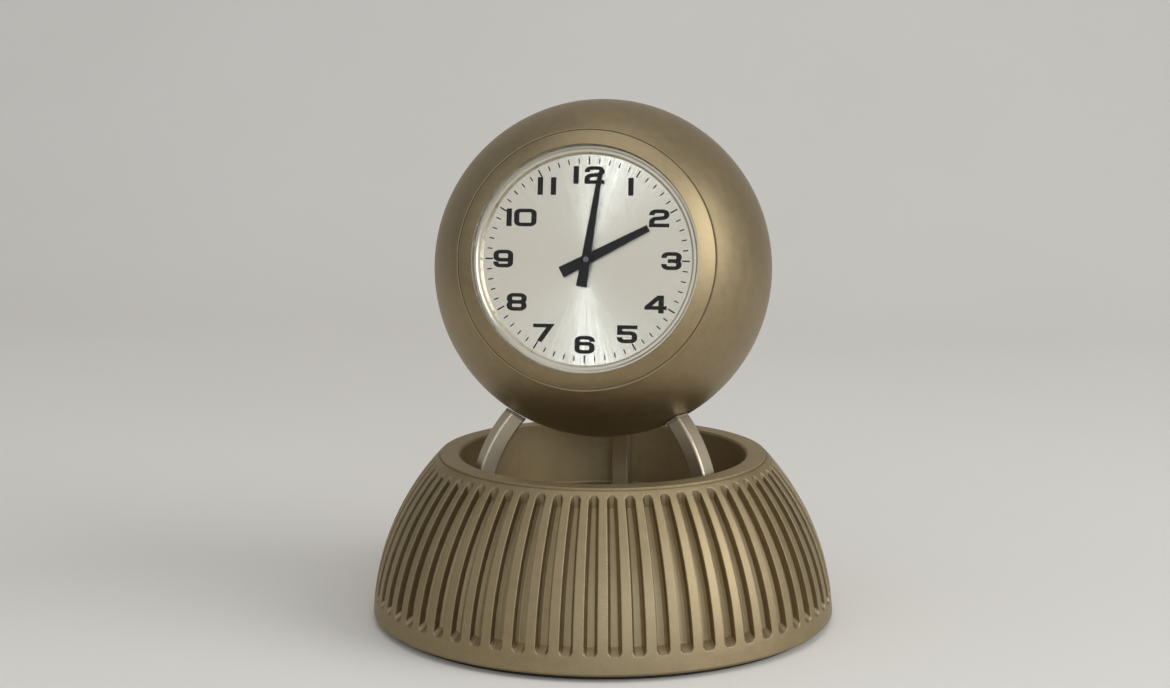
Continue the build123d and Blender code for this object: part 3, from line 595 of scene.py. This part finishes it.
for hour in range(1, HOURS + 1):
    figures = hour_number(hour)
    select_only(*figures)
    if len(figures) > 1:
        bpy.ops.object.join()
    number = bpy.context.object
    number.name = "hour_number_%d" % hour
    number.data.name = number.name
    set_on_dial(number)
    dial_ink.put_on(number)
    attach(number, "ball")


# Hands: two flat tapered bars stamped from steel and lacquered satin black.
# They sit on the pipes in the dial's middle, where the grey end of the arbor shows above them.
LACQUER = (0.006, 0.006, 0.006)
LACQUER_THIN = (0.014, 0.013, 0.013)
HAND_EDGE = 0.00008
hand_black = Finish("hand_black", {"Specular IOR Level": 0.18})
lacquer = hand_black.noise(hand_black.place(), scale=700.0, detail=3.0)
hand_black.feed("Base Color", hand_black.tint(lacquer, LACQUER, LACQUER_THIN))
hand_black.rough(lacquer, least=0.28, most=0.42)
hand_black.feed("Normal", hand_black.eased(HAND_EDGE, samples=4))
hand_black.put_on(nodes["hour_hand"], nodes["minute_hand"])


# Crystal: a shallow domed glass, clear but for its reflections.
# It is clamped by its edge between the bezel's lip and a pale nylon gasket.
GLASS = (0.985, 0.99, 0.985, 1.0)
GLASS_IOR = 1.5
GLANCE_SHARE = 0.15
POLISH = 0.02
crystal_clear = Finish("crystal_clear", {})
through = crystal_clear.node("ShaderNodeBsdfTransparent", {}, {"Color": GLASS})
gloss = crystal_clear.node("ShaderNodeBsdfGlossy", {}, {"Roughness": POLISH})
glance = crystal_clear.node("ShaderNodeFresnel", {}, {"IOR": GLASS_IOR})
both = crystal_clear.node("ShaderNodeMixShader", {}, {0: glance * GLANCE_SHARE, 1: through, 2: gloss})
crystal_clear.join(crystal_clear.tree.nodes["Material Output"].inputs["Surface"], both)
crystal_clear.tree.nodes.remove(crystal_clear.shader)
crystal_clear.put_on(nodes["crystal"])
pale_nylon = moulded_plastic("pale_nylon", dark=(0.40, 0.37, 0.30), light=(0.47, 0.44, 0.36))
pale_nylon.put_on(nodes["crystal_gasket"])


# Movement frame: two brass plates with pillars and screws, held in the ball by a moulded grey ring.
# The plates are brushed one way. The stem that sets the hands is steel, like the screws, and its knob and
# the battery tray are moulded like the ring.
BRASS = (0.72, 0.53, 0.24)
BRASS_DEEP = (0.58, 0.40, 0.16)
PLATE_STRETCH = (0.05, 1.0, 1.0)
plate_brass = Finish("plate_brass", {"Metallic": 1.0})
plate_place = on_clock(plate_brass)
plate_lines = plate_brass.noise(plate_brass.stretched(plate_place, PLATE_STRETCH), scale=9000.0, detail=3.0)
tarnish = plate_brass.noise(plate_place, scale=220.0, detail=4.0)
plate_brass.feed("Base Color", plate_brass.tint(tarnish, BRASS_DEEP, BRASS))
plate_brass.rough(plate_lines, least=0.23, most=0.41)
plate_brass.bump(plate_lines, depth=0.000006, strength=0.5)
plate_brass.put_on(*(nodes[name] for name in ("front_plate", "back_plate", "plate_pillars")))
small_steel = turned_steel("small_steel", tone=(0.60, 0.60, 0.60), roughness=0.28)
small_steel_names = ("carrier_screws", "pillar_screws", "tray_screws", "motion_stud", "setting_stem")
small_steel.put_on(*(nodes[name] for name in small_steel_names))
grey_plastic = moulded_plastic("grey_plastic", dark=(0.038, 0.039, 0.042), light=(0.060, 0.061, 0.065))
grey_plastic.put_on(*(nodes[name] for name in ("movement_carrier", "battery_tray", "setting_knob")))


# Wheels: brass discs and pinions on steel arbors, finely turned round their own axes.
# The arbors are grey, and the one that carries the minute hand shows as a dot in the dial's middle.
ARBOR_RADIUS = 0.00095
ARBOR_GREY = (0.22, 0.22, 0.23)
ARBOR_DEEP = (0.14, 0.14, 0.15)


def wheel_brass(name, joint):
    """Brass wheel round a steel arbor on a joint's axis."""
    finish = Finish(name, {"Metallic": 1.0})
    across, along, out = parted(finish, on_clock(finish))
    axis = clock_turn.transposed() @ (Vector(joints[joint]["pos_m"]) - ball_middle)
    radius = reach(finish, across - axis.x, along - axis.y)
    arbor = finish.node("ShaderNodeMath", {"operation": "LESS_THAN"}, {0: radius, 1: ARBOR_RADIUS})
    lines = finish.noise(gathered(finish, radius, out), scale=16000.0, detail=2.0)
    brass = finish.tint(lines, BRASS_DEEP, BRASS)
    steel = finish.tint(lines, ARBOR_DEEP, ARBOR_GREY)
    finish.feed("Base Color", finish.blend(arbor, brass, steel))
    finish.rough(lines, least=0.18, most=0.34)
    finish.bump(lines, depth=0.000004, strength=0.5)
    return finish


wheels = {
    "minute_turn": ("centre_wheel", "cannon_pinion"),
    "hour_turn": ("hour_wheel",),
    "motion_turn": ("motion_wheel",),
    "intermediate_turn": ("intermediate_wheel",),
    "rotor_turn": ("rotor_pinion",),
}
for joint, names in wheels.items():
    wheel_brass(joint + "_brass", joint).put_on(*(nodes[name] for name in names))


# Motor: a coil of enamelled wire on an iron core, a flat stator and a small dark magnet.
# The windings lie side by side along the coil. The stator is dull steel, and so are the quartz can and the
# cell's contacts.
COPPER = (0.62, 0.26, 0.10)
COPPER_DEEP = (0.42, 0.14, 0.05)
WIRE_RADIANS_PER_METRE = 52000.0
WIRE_ROUGHNESS = 0.30
WIRE_SWING = 0.05
MAGNET_GREY = (0.14, 0.14, 0.15)
MAGNET_DEEP = (0.05, 0.05, 0.055)
copper_winding = Finish("copper_winding", {"Metallic": 1.0, "Coat Weight": 0.6, "Coat Roughness": 0.15})
_, coil_along, _ = parted(copper_winding, on_clock(copper_winding))
wire_phase = coil_along * WIRE_RADIANS_PER_METRE
turns = copper_winding.node("ShaderNodeMath", {"operation": "SINE"}, {0: wire_phase})
enamel = copper_winding.noise(copper_winding.place(), scale=800.0, detail=3.0)
copper_winding.feed("Base Color", copper_winding.tint(enamel, COPPER_DEEP, COPPER))
copper_winding.feed("Roughness", turns * WIRE_SWING + WIRE_ROUGHNESS)
copper_winding.bump(turns, depth=0.00003, strength=0.8)
copper_winding.put_on(nodes["motor_coil"])
core_steel = turned_steel("core_steel", tone=(0.42, 0.42, 0.43), roughness=0.42)
core_steel.put_on(nodes["stator"], nodes["oscillator"], nodes["battery_contacts"])

magnet_grey = Finish("magnet_grey", {"Metallic": 0.8})
sinter = magnet_grey.noise(magnet_grey.place(), scale=5200.0, detail=3.0)
magnet_grey.feed("Base Color", magnet_grey.tint(sinter, MAGNET_DEEP, MAGNET_GREY))
magnet_grey.rough(sinter, least=0.35, most=0.60)
magnet_grey.bump(sinter, depth=0.00002, strength=0.6)
magnet_grey.put_on(nodes["rotor_magnet"])


# Circuit board: green solder mask over fine copper tracks, with one sealed chip.
# The tracks stand slightly proud under the mask.
MASK = (0.012, 0.095, 0.040)
MASK_DEEP = (0.006, 0.060, 0.024)
TRACK = (0.040, 0.190, 0.085)
TRACK_DEEP = (0.030, 0.160, 0.070)
TRACK_WIDTH = 0.12
board_green = Finish("board_green", {"Coat Weight": 0.4, "Coat Roughness": 0.2})
board_place = on_clock(board_green)
weave = board_green.noise(board_place, scale=2400.0, detail=2.0)
cells = {"Vector": board_place, "Scale": 420.0, "Randomness": 0.6}
copper = board_green.node(
    "ShaderNodeTexVoronoi", {"feature": "DISTANCE_TO_EDGE", "distance": "MANHATTAN"}, cells, "Distance"
)
tracked = board_green.node("ShaderNodeMath", {"operation": "LESS_THAN"}, {0: copper, 1: TRACK_WIDTH})
mask = board_green.tint(weave, MASK_DEEP, MASK)
track_green = board_green.tint(weave, TRACK_DEEP, TRACK)
board_green.feed("Base Color", board_green.blend(tracked, mask, track_green))
board_green.rough(weave, least=0.30, most=0.40)
board_green.bump(tracked, depth=0.00003, strength=0.5)
board_green.put_on(nodes["circuit_board"])


# Cell: a small round battery in a plain printed sleeve, dark with one pale band at its nub end.
# It lies across the movement in its tray.
SLEEVE = (0.026, 0.026, 0.030)
SLEEVE_DEEP = (0.014, 0.014, 0.016)
BAND = (0.62, 0.50, 0.28)
BAND_DEEP = (0.52, 0.40, 0.20)
BAND_START = 0.0085
cell_sleeve = Finish("cell_sleeve", {"Metallic": 0.3, "Coat Weight": 0.5, "Coat Roughness": 0.12})
cell_across, _, _ = parted(cell_sleeve, on_clock(cell_sleeve))
band = cell_sleeve.node("ShaderNodeMath", {"operation": "GREATER_THAN"}, {0: cell_across, 1: BAND_START})
sleeve_wear = cell_sleeve.noise(cell_sleeve.place(), scale=300.0, detail=4.0)
sleeve_dark = cell_sleeve.tint(sleeve_wear, SLEEVE_DEEP, SLEEVE)
sleeve_band = cell_sleeve.tint(sleeve_wear, BAND_DEEP, BAND)
cell_sleeve.feed("Base Color", cell_sleeve.blend(band, sleeve_dark, sleeve_band))
cell_sleeve.rough(sleeve_wear, least=0.24, most=0.36)
cell_sleeve.put_on(nodes["battery_cell"])


# Stage: a pale floor that sweeps up behind into a plain wall, under five soft panels and an even sky.
# The right panel models the ball's right cheek, and the low strip in front of the dial draws its two fans.
# The broad front, left and top panels fill the rest.
FLOOR_SIZE = 8.0
WALL_DISTANCE = 0.9
WALL_HEIGHT = 1.6
SWEEP = 0.5
SWEEP_STEPS = 24
FLOOR_PALE = (0.76, 0.73, 0.68)
FLOOR_SHADE = (0.71, 0.68, 0.63)
SKY = (0.92, 0.95, 1.0, 1.0)
SKY_STRENGTH = 0.36
CLOCK_MIDDLE = Vector((0.0, 0.0, 0.06))


def select_edges(piece, wanted):
    """Select the edges that have both ends at a wanted place, and nothing else."""
    for face in piece.data.polygons:
        face.select = False
    for vertex in piece.data.vertices:
        vertex.select = wanted(vertex.co)
    for edge in piece.data.edges:
        edge.select = all(piece.data.vertices[end].select for end in edge.vertices)


bpy.ops.object.select_all(action="DESELECT")
bpy.ops.mesh.primitive_plane_add(size=FLOOR_SIZE, location=(0.0, WALL_DISTANCE - FLOOR_SIZE / 2, 0.0))
floor = bpy.context.object
floor.name = "floor"
bpy.ops.object.transform_apply(location=True)
select_edges(floor, lambda place: place.y > WALL_DISTANCE - SWEEP)
bpy.ops.object.mode_set(mode="EDIT")
bpy.ops.mesh.select_mode(type="EDGE")
bpy.ops.mesh.extrude_region_move(TRANSFORM_OT_translate={"value": (0.0, 0.0, WALL_HEIGHT)})
bpy.ops.object.mode_set(mode="OBJECT")
select_edges(floor, lambda place: place.y > WALL_DISTANCE - SWEEP and place.z < SWEEP)
bpy.ops.object.mode_set(mode="EDIT")
bpy.ops.mesh.bevel(offset=SWEEP, segments=SWEEP_STEPS, affect="EDGES")
bpy.ops.object.mode_set(mode="OBJECT")
bpy.ops.object.shade_smooth()
floor_pale = Finish("floor_pale", {"Roughness": 0.85, "Specular IOR Level": 0.2})
floor_tone = floor_pale.noise(floor_pale.place(), scale=6.0, detail=3.0)
floor_pale.feed("Base Color", floor_pale.tint(floor_tone, FLOOR_SHADE, FLOOR_PALE))
floor_pale.put_on(floor)

world = bpy.data.worlds.new("even_sky")
world.use_nodes = True
sky = world.node_tree.nodes["Background"]
sky.inputs["Color"].default_value = SKY
sky.inputs["Strength"].default_value = SKY_STRENGTH
bpy.context.scene.world = world


def soft_panel(name, place, size, spread, power, colour):
    """Soft light, so wide and high, aimed at the clock, with its beam kept to a spread in degrees."""
    lamp = bpy.data.lights.new(name, "AREA")
    lamp.shape = "RECTANGLE"
    lamp.size, lamp.size_y = size
    lamp.spread = math.radians(spread)
    lamp.energy = power
    lamp.color = colour
    panel = bpy.data.objects.new(name, lamp)
    panel.visible_camera = False
    bpy.context.scene.collection.objects.link(panel)
    away = Vector(place) - CLOCK_MIDDLE
    panel.matrix_world = Matrix.Translation(place) @ away.to_track_quat("Z", "Y").to_matrix().to_4x4()


# Each panel: its place, its width and height, its spread in degrees, its power in watts and its colour.
PANELS = {
    "right_panel": ((0.92, -0.26, 0.46), (0.80, 0.80), 110.0, 2.95, (0.96, 0.98, 1.0)),
    "front_panel": ((-0.20, -1.05, 0.50), (1.20, 1.20), 180.0, 2.0, (1.0, 0.99, 0.97)),
    "fan_panel": ((0.44, -0.98, 0.335), (0.70, 0.20), 90.0, 0.57, (0.78, 0.89, 1.0)),
    "left_panel": ((-0.95, -0.45, 0.60), (0.90, 0.90), 180.0, 0.8, (1.0, 1.0, 1.0)),
    "top_panel": ((0.10, -0.10, 1.20), (1.00, 1.00), 180.0, 3.4, (1.0, 1.0, 1.0)),
}
for name, panel in PANELS.items():
    soft_panel(name, *panel)


# Camera: a little above the ball's top and to the dial's right, tipped down, with a 65 mm lens.
# The focal length is in pixels of a picture that is 1170 pixels wide.
PICTURE_WIDTH = 1170
FOCAL_PIXELS = 2101
SENSOR_WIDTH = 36.0
CAMERA_DISTANCE = 0.4633
CAMERA_HEIGHT = 0.1380
CAMERA_AZIMUTH = math.radians(8.45)
CAMERA_PITCH = math.radians(9.37)
CAMERA_YAW = math.radians(0.50)
NEAREST_SEEN = 0.01

lens = bpy.data.cameras.new("camera")
lens.sensor_width = SENSOR_WIDTH
lens.lens = SENSOR_WIDTH * FOCAL_PIXELS / PICTURE_WIDTH
lens.clip_start = NEAREST_SEEN
camera = bpy.data.objects.new("camera", lens)
camera.location = (
    CAMERA_DISTANCE * math.sin(CAMERA_AZIMUTH),
    -CAMERA_DISTANCE * math.cos(CAMERA_AZIMUTH),
    CAMERA_HEIGHT,
)
camera.rotation_euler = (math.pi / 2 - CAMERA_PITCH, 0.0, CAMERA_AZIMUTH + CAMERA_YAW)
bpy.context.scene.collection.objects.link(camera)
bpy.context.scene.camera = camera
bpy.context.scene.view_settings.view_transform = "Standard"
